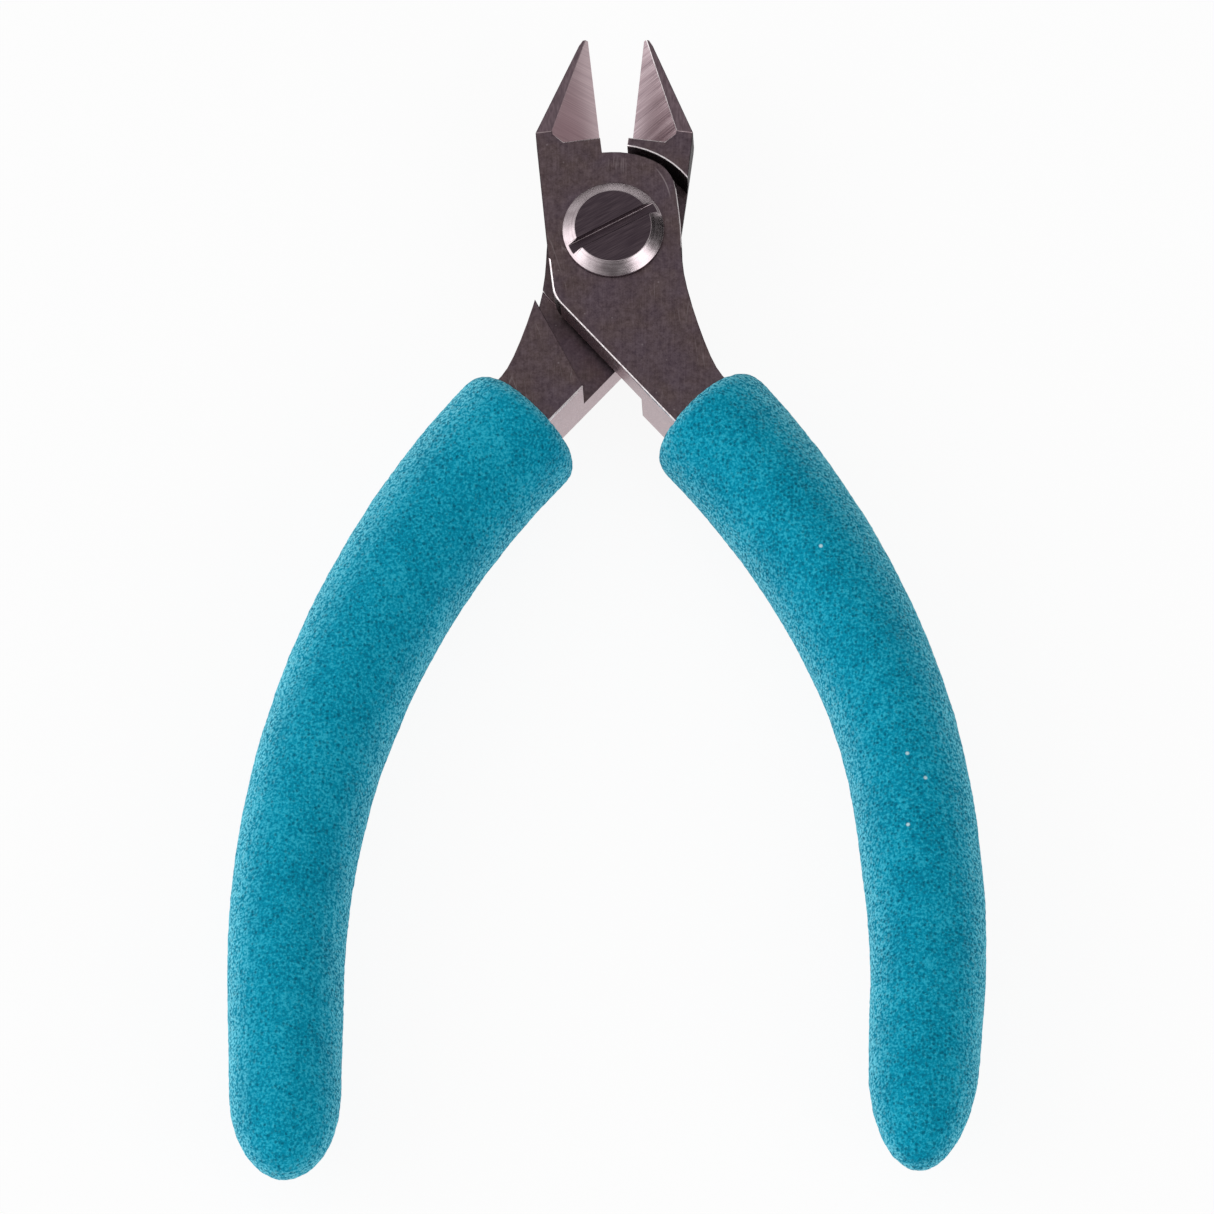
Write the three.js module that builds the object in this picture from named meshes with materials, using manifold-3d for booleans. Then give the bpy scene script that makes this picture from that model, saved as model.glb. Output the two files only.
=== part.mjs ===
// Angled side cutters for electronics work: two lapped steel halves on a screw joint,
// a hidden return spring, and a foam sleeve on each arm.
// Millimetres. +Z points out of the screw side, +Y to the jaw tips, +X to the right arm.
// The origin is on the pivot axis, on the flat back of the pivot nut.
// Both halves are drawn with the jaws closed and the pivot at (0, 0), then turned open.

import * as THREE from 'three';
import { mergeVertices } from 'three/addons/utils/BufferGeometryUtils.js';
import Module from 'manifold-3d';

// Head and lap joint
const HEAD_THICKNESS = 7.0;
const LAP_RADIUS = 8.1;
const SIDE_FLAT = 1.75;
const LAP_GAP = 0.12;
const LAP_RADIAL_GAP = 0.65;
const LAP_RELIEF = 0.4;
const DIAGONAL_ANGLE = 34.5;
const DIAGONAL_MARGIN = 0.48;
const DIAGONAL_GAP = 1.1;
const CORNER_ROUND = 1.0;
const SIDE_ROUND = 1.6;
const HALF_OPENING = 7.2;

// Jaws: the cutting plane leans to the screw side, the front is ground down to the edge
const SHOULDER_RISE = 2.8;
const SHOULDER_DRAFT = 0.25;
const SIDE_DRAFT = 4.0;
const JAW_REACH = 9.7;
const TIP_WIDTH = 0.55;
const TIP_ROUND_WIDTH = 0.45;
const TIP_ROUND_LENGTH = 0.6;
const JAW_ANGLE = 21.5;
const JAW_ANGLE_RISE = 0.3;
const FRONT_TAPER = 11.0;
const BEVEL_ANGLE = 51.0;
const LEDGE_RISE = 1.55;
const LEDGE_WIDTH = 3.6;
const LEDGE_CORNER = 0.95;
const EDGE_GAP = 0.1;
const NOTCH_GAP = 0.26;

// Arms: a bend of one radius, then a straight tail; the tang runs on inside the grip
const ARM_START_X = 4.31;
const ARM_START_LEAN = 37.34;
const ARM_BEND_RADIUS = 82;
const TAIL_ANGLE = 7.6;
const NECK_WAIST = 0.2;
const NECK_Y = -6.1;
const NECK_FLARE = 0.22;
const NECK_FLARE_RUN = 3.0;
const ARM_LEAD = 1.5;
const TANG_WIDTH = 6.6;
const TANG_END_WIDTH = 4.4;
const TANG_OFFSET = 0.8;
const TANG_OFFSET_RUN = 23;
const TANG_SETBACK = 13.3;

// Foam grips: the wall that they add on the sides and faces of the tang
const GRIP_START_Y = -18.5;
const GRIP_END_Y = -97.3;
const GRIP_SIDE_WALL = 2.55;
const GRIP_FACE_WALL = 2.8;
const GRIP_TAIL_SIDE_WALL = 3.05;
const GRIP_TAIL_FACE_WALL = 1.5;
const GRIP_RIM = 2.0;
const GRIP_DOME = 8.4;
const GRIP_FIT = 0.3;
const RIGHT_GRIP_SHIFT = 0.65;
const RIGHT_GRIP_SLIM = 0.35;
const RIGHT_GRIP_DOME = 11.5;
const RIGHT_GRIP_SHORT = 0.7;
const RIGHT_GRIP_CURL = 0.65;
const RIGHT_GRIP_EVEN_FROM = 0.45;
const RIGHT_GRIP_EVEN_BY = 0.75;

// Pivot screw, sleeve nut and washer
const NUT_BARREL_RADIUS = 3.1;
const NUT_FLANGE_WIDTH = 1.1;
const NUT_FLANGE = 0.9;
const NUT_PROUD = 0.4;
const NUT_FLOOR = 1.9;
const WASHER_WIDTH = 1.1;
const WASHER_THICKNESS = 0.35;
const WASHER_PLAY = 0.1;
const SCREW_OVERHANG = 0.43;
const SCREW_RIM = 0.25;
const SCREW_BEVEL_WIDTH = 1.15;
const SCREW_BEVEL_HEIGHT = 0.88;
const SCREW_SEAT_GAP = 0.1;
const SLOT_WIDTH = 1.0;
const SLOT_DEPTH = 0.7;
const SLOT_TURN = 28.6;
const THREAD_RADIUS = 1.8;
const FIT_GAP = 0.15;

// Return spring and stop pin
const SPRING_WIRE = 0.8;
const SPRING_BARREL_GAP = 1.0;
const SPRING_GAP = 0.25;
const SPRING_COIL_GAP = 0.42;
const SPRING_FLOOR = 1.45;
const SPRING_LEG_WALL = 0.2;
const SPRING_LEG_ANGLE = 130;
const SPRING_LEG_BEND = 14;
const STOP_PIN_RADIUS = 0.75;
const STOP_PIN_WALL = 0.7;
const STOP_PIN_FLOOR = 1.8;
const STOP_PIN_ANGLE = -90;
const STOP_OVERTRAVEL = 3;

// Smoothness of round shapes
const ROUND_SIDES = 56;
const SMALL_ROUND_SIDES = 20;
const ARM_STEPS = 20;
const NECK_STEPS = 24;
const CORNER_STEPS = 4;
const GRIP_SIDES = 28;
const GRIP_STEPS = 18;
const RIM_STEPS = 4;
const DOME_STEPS = 6;
const WIRE_SIDES = 6;
const STEPS_PER_TURN = 22;

// Longer than the whole tool, for cuts that run right through
const FAR = 150;

// Sizes that follow from the ones above
const { degToRad, radToDeg, lerp, clamp, smoothstep } = THREE.MathUtils;
const FACE_Z = HEAD_THICKNESS / 2;
const LAP_Z = LAP_GAP / 2;
const HEAD_HALF_WIDTH = LAP_RADIUS - SIDE_FLAT;
const POCKET_RADIUS = LAP_RADIUS + LAP_RADIAL_GAP;
const DIAGONAL_OFFSET = LAP_RADIUS + DIAGONAL_MARGIN;
const SHOULDER_Y = LAP_RADIUS + SHOULDER_RISE;
const TIP_Y = SHOULDER_Y + JAW_REACH;
const LEDGE_Y = LAP_RADIUS + LEDGE_RISE;
const JAW_ANGLE_Y = LAP_RADIUS + JAW_ANGLE_RISE;
const ARM_START_Y = GRIP_START_Y + ARM_LEAD;
const TANG_END_Y = GRIP_END_Y + TANG_SETBACK;
const RIGHT_GRIP_END_Y = GRIP_END_Y + RIGHT_GRIP_SHORT;
const NUT_BACK_Z = -FACE_Z - NUT_PROUD;
const NUT_FLANGE_RADIUS = NUT_BARREL_RADIUS + NUT_FLANGE_WIDTH;
const WASHER_INNER = NUT_BARREL_RADIUS + FIT_GAP;
const WASHER_OUTER = WASHER_INNER + WASHER_WIDTH;
const WASHER_POCKET_Z = FACE_Z - WASHER_THICKNESS - WASHER_PLAY;
const SCREW_HEAD_RADIUS = WASHER_OUTER + SCREW_OVERHANG;
const SCREW_BASE_Z = FACE_Z + SCREW_SEAT_GAP;
const SPRING_RADIUS = NUT_BARREL_RADIUS + SPRING_BARREL_GAP + SPRING_WIRE / 2;
const SPRING_POCKET_RADIUS = SPRING_RADIUS + SPRING_WIRE / 2 + SPRING_GAP;
const SPRING_POCKET_Z = FACE_Z - SPRING_FLOOR;
const SPRING_LEG_HOLE_Z = WASHER_POCKET_Z - SPRING_LEG_WALL;
const STOP_PIN_PATH = SPRING_POCKET_RADIUS + STOP_PIN_WALL + STOP_PIN_RADIUS + FIT_GAP;
const STOP_PIN_END_Z = FACE_Z - STOP_PIN_FLOOR;

const wasm = await Module();
wasm.setup();

const at = (x, y) => new THREE.Vector2(x, y);
const polar = (radius, degrees) => at(
  radius * Math.cos(degToRad(degrees)),
  radius * Math.sin(degToRad(degrees)),
);

// A closed three.js geometry as a solid for joining and cutting
function solid(geometry) {
  const bare = geometry.clone();
  bare.deleteAttribute('normal');
  bare.deleteAttribute('uv');
  const merged = mergeVertices(bare, 1e-5);
  return new wasm.Manifold(new wasm.Mesh({
    numProp: 3,
    vertProperties: new Float32Array(merged.attributes.position.array),
    triVerts: new Uint32Array(merged.index.array),
  }));
}

// A solid as a named mesh with its finish
function piece(name, body, finish) {
  const made = body.getMesh();
  const geometry = new THREE.BufferGeometry();
  geometry.setAttribute('position', new THREE.BufferAttribute(made.vertProperties, 3));
  geometry.setIndex(new THREE.BufferAttribute(made.triVerts, 1));
  geometry.computeVertexNormals();
  const mesh = new THREE.Mesh(geometry, finish);
  mesh.name = name;
  return mesh;
}

// A plan outline raised from one height to another
function prism(outline, low, high) {
  const shape = outline instanceof THREE.Shape ? outline : new THREE.Shape(outline);
  const geometry = new THREE.ExtrudeGeometry(shape, { depth: high - low, bevelEnabled: false });
  geometry.translate(0, 0, low);
  return solid(geometry);
}

// A round post along Z
function post(radius, low, high, centre = at(0, 0), sides = ROUND_SIDES) {
  const geometry = new THREE.CylinderGeometry(radius, radius, high - low, sides);
  geometry.rotateX(Math.PI / 2);
  geometry.translate(centre.x, centre.y, (low + high) / 2);
  return solid(geometry);
}

// A turned piece from its profile of radius and height
function turned(profile) {
  const geometry = new THREE.LatheGeometry(profile, ROUND_SIDES);
  geometry.rotateX(Math.PI / 2);
  return solid(geometry);
}

// A block that fills one side of a plane tilted about X; the plane passes through y, z
function blockOver(y, z, tilt) {
  const geometry = new THREE.BoxGeometry(2 * FAR, 2 * FAR, FAR);
  geometry.translate(0, 0, FAR / 2);
  geometry.rotateX(degToRad(tilt));
  geometry.translate(0, y, z);
  return solid(geometry);
}

// Points of an arc about the pivot, by angles in degrees
function arc(radius, from, to) {
  const count = Math.max(2, Math.ceil((ROUND_SIDES * Math.abs(to - from)) / 360));
  const points = [];
  for (let i = 0; i <= count; i += 1) {
    points.push(polar(radius, lerp(from, to, i / count)));
  }
  return points;
}

// A skin over rings of equal count, closed by a fan at each end
function loft(rings, firstCentre, lastCentre) {
  const sides = rings[0].length;
  const points = [...rings.flat(), firstCentre, lastCentre];
  const first = points.length - 2;
  const last = points.length - 1;
  const faces = [];
  for (let k = 0; k < sides; k += 1) {
    const next = (k + 1) % sides;
    for (let ring = 0; ring + 1 < rings.length; ring += 1) {
      const low = ring * sides;
      const high = low + sides;
      faces.push(low + k, low + next, high + next, low + k, high + next, high + k);
    }
    const end = (rings.length - 1) * sides;
    faces.push(first, next, k, last, end + k, end + next);
  }
  const geometry = new THREE.BufferGeometry().setFromPoints(points);
  geometry.setIndex(faces);
  return solid(geometry);
}

// Middle line of the right arm: its point, outward normal and lean at a distance behind the pivot
const ARM_WIDEST_Y = ARM_START_Y - ARM_BEND_RADIUS * Math.sin(degToRad(ARM_START_LEAN));
const ARM_BEND_X = ARM_START_X - ARM_BEND_RADIUS * Math.cos(degToRad(ARM_START_LEAN));
const TAIL_Y = ARM_WIDEST_Y - ARM_BEND_RADIUS * Math.sin(degToRad(TAIL_ANGLE));

function armLine(y) {
  const lean = Math.asin((Math.max(y, TAIL_Y) - ARM_WIDEST_Y) / ARM_BEND_RADIUS);
  const onBend = ARM_BEND_X + ARM_BEND_RADIUS * Math.cos(lean);
  const onTail = Math.min(y - TAIL_Y, 0) * Math.tan(degToRad(TAIL_ANGLE));
  return { point: at(onBend + onTail, y), normal: at(Math.cos(lean), Math.sin(lean)) };
}

// One edge of the tang, side +1 outside and -1 inside, from one distance behind the pivot to another
function tangEdge(fromY, toY, side, extra = 0) {
  const points = [];
  for (let i = 0; i <= ARM_STEPS; i += 1) {
    const y = lerp(fromY, toY, i / ARM_STEPS);
    const { point, normal } = armLine(y);
    const along = clamp((y - ARM_START_Y) / (TANG_END_Y - ARM_START_Y), 0, 1);
    const drift = clamp(1 - (ARM_START_Y - y) / TANG_OFFSET_RUN, 0, 1);
    const flare = side > 0 ? NECK_FLARE * clamp(1 - (ARM_START_Y - y) / NECK_FLARE_RUN, 0, 1) ** 2 : 0;
    const reach = lerp(TANG_WIDTH, TANG_END_WIDTH, along) / 2 + flare + extra;
    points.push(point.clone().addScaledVector(normal, TANG_OFFSET * drift + side * reach));
  }
  return points;
}

// A point on a line that runs along the diagonal edge of the lap plate
const diagonalNormal = polar(1, 180 + DIAGONAL_ANGLE);
const diagonalRun = at(-diagonalNormal.y, diagonalNormal.x);
const onDiagonal = (offset, run) => diagonalNormal.clone()
  .multiplyScalar(offset)
  .addScaledVector(diagonalRun, run);

// Plan outline of one half, its jaw on the left and its arm on the right
function halfOutline() {
  const edgeX = -EDGE_GAP / 2;
  const notchX = -NOTCH_GAP / 2;
  const notchAngle = 90 - radToDeg(Math.asin(notchX / LAP_RADIUS));
  const sideAngle = radToDeg(Math.acos(HEAD_HALF_WIDTH / LAP_RADIUS));
  const cornerRun = (-HEAD_HALF_WIDTH - diagonalNormal.x * DIAGONAL_OFFSET) / diagonalRun.x;
  const corner = onDiagonal(DIAGONAL_OFFSET, cornerRun);
  const roundCorner = new THREE.QuadraticBezierCurve(
    at(corner.x, corner.y + CORNER_ROUND),
    corner,
    onDiagonal(DIAGONAL_OFFSET, cornerRun + CORNER_ROUND),
  );
  const sideCorner = polar(LAP_RADIUS, sideAngle);
  const arcStart = sideAngle + radToDeg(SIDE_ROUND / LAP_RADIUS);
  const roundSide = new THREE.QuadraticBezierCurve(
    at(sideCorner.x, sideCorner.y - SIDE_ROUND),
    sideCorner,
    polar(LAP_RADIUS, arcStart),
  );
  const outerEdge = tangEdge(TANG_END_Y, ARM_START_Y, 1);
  const armTop = outerEdge[outerEdge.length - 2];
  const neck = new THREE.SplineCurve([
    ...outerEdge.slice(-3),
    at(HEAD_HALF_WIDTH - NECK_WAIST, NECK_Y),
    at(HEAD_HALF_WIDTH, 0),
    at(sideCorner.x, sideCorner.y - SIDE_ROUND),
  ]);
  const neckPoints = neck.getPoints(NECK_STEPS).filter((p) => p.y > armTop.y + CORNER_ROUND / 2);
  return [
    at(edgeX, LEDGE_Y),
    at(edgeX, TIP_Y),
    at(-TIP_WIDTH, TIP_Y),
    at(-TIP_WIDTH - TIP_ROUND_WIDTH, TIP_Y - TIP_ROUND_LENGTH),
    at(SHOULDER_DRAFT - HEAD_HALF_WIDTH, SHOULDER_Y),
    at(-HEAD_HALF_WIDTH, 0),
    ...roundCorner.getPoints(CORNER_STEPS),
    ...tangEdge(ARM_START_Y, TANG_END_Y, -1),
    ...outerEdge.slice(0, -1),
    ...neckPoints.slice(0, -1),
    ...roundSide.getPoints(CORNER_STEPS).slice(0, -1),
    ...arc(LAP_RADIUS, arcStart, notchAngle),
    at(notchX, LEDGE_Y),
  ];
}

// Plan outline of the room that the lap plate of the other half turns in
function lapPocket() {
  const [low, high] = [FAR, -FAR].map((run) => onDiagonal(DIAGONAL_OFFSET + DIAGONAL_GAP, run));
  return [
    ...arc(POCKET_RADIUS, 90, 180),
    at(-FAR, 0),
    at(-FAR, low.y),
    at(-low.x, low.y),
    at(-high.x, high.y),
    at(-high.x, FAR),
    at(0, FAR),
  ];
}

// What the forging draft takes off the flat side next to the jaw
function draftCut(side) {
  const geometry = new THREE.BoxGeometry(FAR, 2 * FAR, 2 * FAR);
  geometry.translate((side * FAR) / 2, 0, 0);
  geometry.rotateY(side * degToRad(SIDE_DRAFT));
  geometry.translate(side * HEAD_HALF_WIDTH, 0, FACE_Z);
  return solid(geometry);
}

// What is ground off the front of the left jaw, down to the cutting edge
function bevelCut(side) {
  const outer = -LEDGE_WIDTH - LEDGE_CORNER;
  const plan = [
    at(FAR, LEDGE_Y),
    at(-LEDGE_WIDTH, LEDGE_Y),
    at(outer, LEDGE_Y + LEDGE_CORNER),
    at(outer, FAR),
    at(FAR, FAR),
  ];
  const slope = new THREE.BoxGeometry(2 * FAR, 2 * FAR, FAR);
  slope.translate(0, 0, FAR / 2);
  slope.rotateY(-side * degToRad(BEVEL_ANGLE));
  slope.rotateX(degToRad(JAW_ANGLE));
  slope.translate((side * EDGE_GAP) / 2, JAW_ANGLE_Y, -FACE_Z);
  return prism(flipped(plan, side), -FAR, FAR).intersect(solid(slope));
}

// Outlines are drawn for a jaw on the left; side +1 turns them over to the right
function flipped(points, side) {
  return points.map((p) => at(-side * p.x, p.y));
}

// One steel half. side -1 has its jaw on the left, lap +1 has its plate on the screw side.
function steelHalf(side, lap) {
  const levels = (low, high) => (lap > 0 ? [low, high] : [-high, -low]);
  const pocket = flipped(lapPocket(), side);
  const relief = new THREE.Shape(pocket);
  relief.holes.push(new THREE.Path(arc(LAP_RADIUS, 0, 360).slice(1)));
  return prism(flipped(halfOutline(), side), -FACE_Z, FACE_Z)
    .subtract(prism(pocket, ...levels(-FAR, LAP_Z)))
    .subtract(prism(relief, ...levels(-FAR, LAP_Z + LAP_RELIEF)))
    .subtract(blockOver(JAW_ANGLE_Y, -FACE_Z, JAW_ANGLE + 180))
    .subtract(blockOver(SHOULDER_Y, FACE_Z, -FRONT_TAPER))
    .subtract(bevelCut(side))
    .subtract(draftCut(side))
    .subtract(post(NUT_BARREL_RADIUS + FIT_GAP, -FAR, FAR))
    .subtract(post(SPRING_POCKET_RADIUS, ...levels(-FAR, SPRING_POCKET_Z)));
}

// Where a leg of the return spring sits in its half
const springLegHole = (angle, low, high) => post(
  SPRING_WIRE / 2 + SPRING_GAP,
  low,
  high,
  polar(SPRING_RADIUS, angle),
  SMALL_ROUND_SIDES,
);

// Curved slot of the front half, as long as the travel of the stop pin in it
function stopSlot() {
  const reach = STOP_PIN_RADIUS + FIT_GAP;
  const open = STOP_PIN_ANGLE - 2 * HALF_OPENING;
  const shut = STOP_PIN_ANGLE + STOP_OVERTRAVEL;
  const outline = [
    ...arc(STOP_PIN_PATH - reach, shut, open),
    ...arc(STOP_PIN_PATH + reach, open, shut),
  ];
  const top = STOP_PIN_END_Z + FIT_GAP;
  return prism(outline, -FACE_Z, top)
    .add(post(reach, -FACE_Z, top, polar(STOP_PIN_PATH, open), SMALL_ROUND_SIDES))
    .add(post(reach, -FACE_Z, top, polar(STOP_PIN_PATH, shut), SMALL_ROUND_SIDES));
}

function frontHalf() {
  return steelHalf(-1, 1)
    .subtract(post(WASHER_OUTER + FIT_GAP, WASHER_POCKET_Z, FAR))
    .subtract(springLegHole(SPRING_LEG_ANGLE, 0, SPRING_LEG_HOLE_Z))
    .subtract(stopSlot());
}

function rearHalf() {
  const pinHole = polar(STOP_PIN_PATH, STOP_PIN_ANGLE);
  const pinHoleRadius = STOP_PIN_RADIUS + FIT_GAP;
  const flangeTop = NUT_BACK_Z + NUT_FLANGE + FIT_GAP;
  return steelHalf(1, -1)
    .subtract(post(NUT_FLANGE_RADIUS + FIT_GAP, -FAR, flangeTop))
    .subtract(springLegHole(180 - SPRING_LEG_ANGLE, -SPRING_LEG_HOLE_Z, 0))
    .subtract(post(pinHoleRadius, -STOP_PIN_END_Z - FIT_GAP, 0, pinHole, SMALL_ROUND_SIDES));
}

function stopPin() {
  const place = polar(STOP_PIN_PATH, STOP_PIN_ANGLE);
  return post(STOP_PIN_RADIUS, -STOP_PIN_END_Z, STOP_PIN_END_Z, place, SMALL_ROUND_SIDES);
}

function pivotScrew() {
  const bevelZ = SCREW_BASE_Z + SCREW_RIM;
  const topZ = bevelZ + SCREW_BEVEL_HEIGHT;
  const body = turned([
    at(0, NUT_BACK_Z + NUT_FLOOR + FIT_GAP),
    at(THREAD_RADIUS, NUT_BACK_Z + NUT_FLOOR + FIT_GAP),
    at(THREAD_RADIUS, SCREW_BASE_Z),
    at(SCREW_HEAD_RADIUS, SCREW_BASE_Z),
    at(SCREW_HEAD_RADIUS, bevelZ),
    at(SCREW_HEAD_RADIUS - SCREW_BEVEL_WIDTH, topZ),
    at(0, topZ),
  ]);
  const slot = new THREE.BoxGeometry(2 * FAR, SLOT_WIDTH, 2 * SLOT_DEPTH);
  slot.rotateZ(degToRad(SLOT_TURN));
  slot.translate(0, 0, topZ);
  return body.subtract(solid(slot));
}

function pivotNut() {
  const bore = THREAD_RADIUS + FIT_GAP;
  return turned([
    at(0, NUT_BACK_Z),
    at(NUT_FLANGE_RADIUS, NUT_BACK_Z),
    at(NUT_FLANGE_RADIUS, NUT_BACK_Z + NUT_FLANGE),
    at(NUT_BARREL_RADIUS, NUT_BACK_Z + NUT_FLANGE),
    at(NUT_BARREL_RADIUS, FACE_Z),
    at(bore, FACE_Z),
    at(bore, NUT_BACK_Z + NUT_FLOOR),
    at(0, NUT_BACK_Z + NUT_FLOOR),
  ]);
}

function springWasher() {
  const low = WASHER_POCKET_Z + WASHER_PLAY / 2;
  const high = low + WASHER_THICKNESS;
  return turned([
    at(WASHER_INNER, low),
    at(WASHER_OUTER, low),
    at(WASHER_OUTER, high),
    at(WASHER_INNER, high),
    at(WASHER_INNER, low),
  ]);
}

// Torsion coil from its leg in the front half, round the nut, to its leg in the rear half
function returnSpring() {
  const frontAngle = SPRING_LEG_ANGLE + HALF_OPENING;
  const rearAngle = 180 - frontAngle;
  const height = 2 * (SPRING_POCKET_Z - SPRING_GAP) - SPRING_WIRE;
  const part = (frontAngle - rearAngle) / 360;
  const turns = part + Math.max(0, Math.floor(height / (SPRING_WIRE + SPRING_COIL_GAP) - part));
  const legEnd = SPRING_LEG_HOLE_Z - SPRING_GAP;
  const onCoil = (angle, z) => {
    const p = polar(SPRING_RADIUS, angle);
    return new THREE.Vector3(p.x, p.y, z);
  };
  const steps = Math.ceil(turns * STEPS_PER_TURN);
  const points = [onCoil(frontAngle, legEnd), onCoil(frontAngle, SPRING_POCKET_Z - SPRING_GAP)];
  for (let i = 0; i <= steps; i += 1) {
    const angle = lerp(frontAngle - SPRING_LEG_BEND, frontAngle - turns * 360 + SPRING_LEG_BEND, i / steps);
    points.push(onCoil(angle, lerp(height / 2, -height / 2, i / steps)));
  }
  points.push(onCoil(rearAngle, SPRING_GAP - SPRING_POCKET_Z), onCoil(rearAngle, -legEnd));
  const path = new THREE.CatmullRomCurve3(points);
  printLeastGap(points, STEPS_PER_TURN / 2);
  const wire = new THREE.Shape();
  for (let k = 0; k < WIRE_SIDES; k += 1) {
    const p = polar(SPRING_WIRE / 2, (360 * k) / WIRE_SIDES);
    if (k === 0) wire.moveTo(p.x, p.y);
    else wire.lineTo(p.x, p.y);
  }
  return solid(new THREE.ExtrudeGeometry(wire, { steps: 2 * points.length, extrudePath: path }));
}

// The least gap of the spring wire to itself, between points at least half a turn apart
function printLeastGap(points, apart) {
  let least = Infinity;
  points.forEach((p, i) => points.slice(i + apart).forEach((q) => {
    least = Math.min(least, p.distanceTo(q) - SPRING_WIRE);
  }));
  console.log(`return spring: least gap ${least.toFixed(2)} mm`);
}

// Foam sleeve of the right arm, with a socket for the tang. The foam can sit off the middle line
// of the arm and be pressed slimmer near the head, and its tail can curl inwards; its closed end
// is a dome that ends at endY.
function grip(shift, slim, curl, dome, endY) {
  const startWidth = TANG_WIDTH / 2 + TANG_OFFSET + GRIP_SIDE_WALL;
  const startHeight = FACE_Z + GRIP_FACE_WALL;
  const tailWidth = TANG_END_WIDTH / 2 + GRIP_TAIL_SIDE_WALL;
  const tailHeight = FACE_Z + GRIP_TAIL_FACE_WALL;
  const domeY = endY + dome * Math.cos(degToRad(TAIL_ANGLE));
  const rimY = GRIP_START_Y - GRIP_RIM * armLine(GRIP_START_Y).normal.x;
  const curlAt = (y) => curl * clamp((TAIL_Y - y) / (TAIL_Y - endY), 0, 1);
  const ring = (y, shrink, scale) => {
    const { point, normal } = armLine(y);
    const along = clamp((GRIP_START_Y - y) / (GRIP_START_Y - domeY), 0, 1);
    const uneven = 1 - smoothstep(along, RIGHT_GRIP_EVEN_FROM, RIGHT_GRIP_EVEN_BY);
    const width = (lerp(startWidth, tailWidth, along) - slim * uneven) * scale - shrink;
    const height = lerp(startHeight, tailHeight, along) * scale - shrink;
    const points = [];
    for (let k = 0; k < GRIP_SIDES; k += 1) {
      const p = polar(1, (360 * k) / GRIP_SIDES);
      const q = point.clone().addScaledVector(normal, shift * uneven - curlAt(y) + width * p.x);
      points.push(new THREE.Vector3(q.x, q.y, height * p.y));
    }
    return points;
  };
  const rings = [];
  for (let i = 0; i < RIM_STEPS; i += 1) {
    const turn = (Math.PI / 2) * (i / RIM_STEPS);
    const y = lerp(GRIP_START_Y, rimY, 1 - Math.cos(turn));
    rings.push(ring(y, GRIP_RIM * (1 - Math.sin(turn)), 1));
  }
  for (let i = 0; i <= GRIP_STEPS; i += 1) {
    rings.push(ring(lerp(rimY, domeY, i / GRIP_STEPS), 0, 1));
  }
  for (let i = 1; i < DOME_STEPS; i += 1) {
    const turn = (Math.PI / 2) * (i / DOME_STEPS);
    rings.push(ring(lerp(domeY, endY, Math.sin(turn)), 0, Math.cos(turn)));
  }
  const start = armLine(GRIP_START_Y).point;
  const end = armLine(endY).point.addScaledVector(armLine(endY).normal, -curl);
  const foam = loft(rings, new THREE.Vector3(start.x, start.y, 0), new THREE.Vector3(end.x, end.y, 0));
  const socketTop = GRIP_START_Y + GRIP_RIM;
  const socketEnd = TANG_END_Y - GRIP_FIT;
  const socket = prism([
    ...tangEdge(socketTop, socketEnd, -1, GRIP_FIT),
    ...tangEdge(socketEnd, socketTop, 1, GRIP_FIT),
  ], -FACE_Z - GRIP_FIT, FACE_Z + GRIP_FIT);
  return foam.subtract(socket);
}

// Finishes
const steel = (color, roughness) => new THREE.MeshStandardMaterial({ color, roughness, metalness: 1 });
const foam = () => new THREE.MeshStandardMaterial({ color: '#108aa4', roughness: 0.95, metalness: 0 });

// Assembly: each half turns open about the pivot with what it carries
const frontSide = new THREE.Group();
frontSide.rotation.z = degToRad(HALF_OPENING);
frontSide.add(piece('front_half', frontHalf(), steel('#4d4246', 0.45)));
const rightGrip = grip(RIGHT_GRIP_SHIFT, RIGHT_GRIP_SLIM, RIGHT_GRIP_CURL, RIGHT_GRIP_DOME, RIGHT_GRIP_END_Y);
frontSide.add(piece('right_grip', rightGrip, foam()));

const rearSide = new THREE.Group();
rearSide.rotation.z = -degToRad(HALF_OPENING);
rearSide.add(piece('rear_half', rearHalf(), steel('#4d4246', 0.45)));
rearSide.add(piece('stop_pin', stopPin(), steel('#8c8a8b', 0.3)));
const leftGrip = piece('left_grip', grip(0, 0, 0, GRIP_DOME, GRIP_END_Y), foam());
leftGrip.rotation.y = Math.PI;
rearSide.add(leftGrip);

const cutters = new THREE.Group();
cutters.position.z = -NUT_BACK_Z;
cutters.add(frontSide, rearSide);
cutters.add(piece('pivot_screw', pivotScrew(), steel('#8a7f82', 0.3)));
cutters.add(piece('pivot_nut', pivotNut(), steel('#6b6366', 0.35)));
cutters.add(piece('spring_washer', springWasher(), steel('#77757a', 0.35)));
cutters.add(piece('return_spring', returnSpring(), steel('#9a999c', 0.3)));

export default cutters;
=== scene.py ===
# %% [markdown]
# Angled side cutters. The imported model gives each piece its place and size, in metres, with the
# pivot axis on Z, the jaw tips towards +Y and the screw head up. This file dresses that frame:
# edges get the small worn bevels of a ground forging, the sleeves get their foam, and every
# surface gets a finish. Nothing here moves or resizes a piece of the frame.

# %% Load the frame
from math import radians
import bmesh
import bpy
from mathutils import Matrix, Vector


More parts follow.
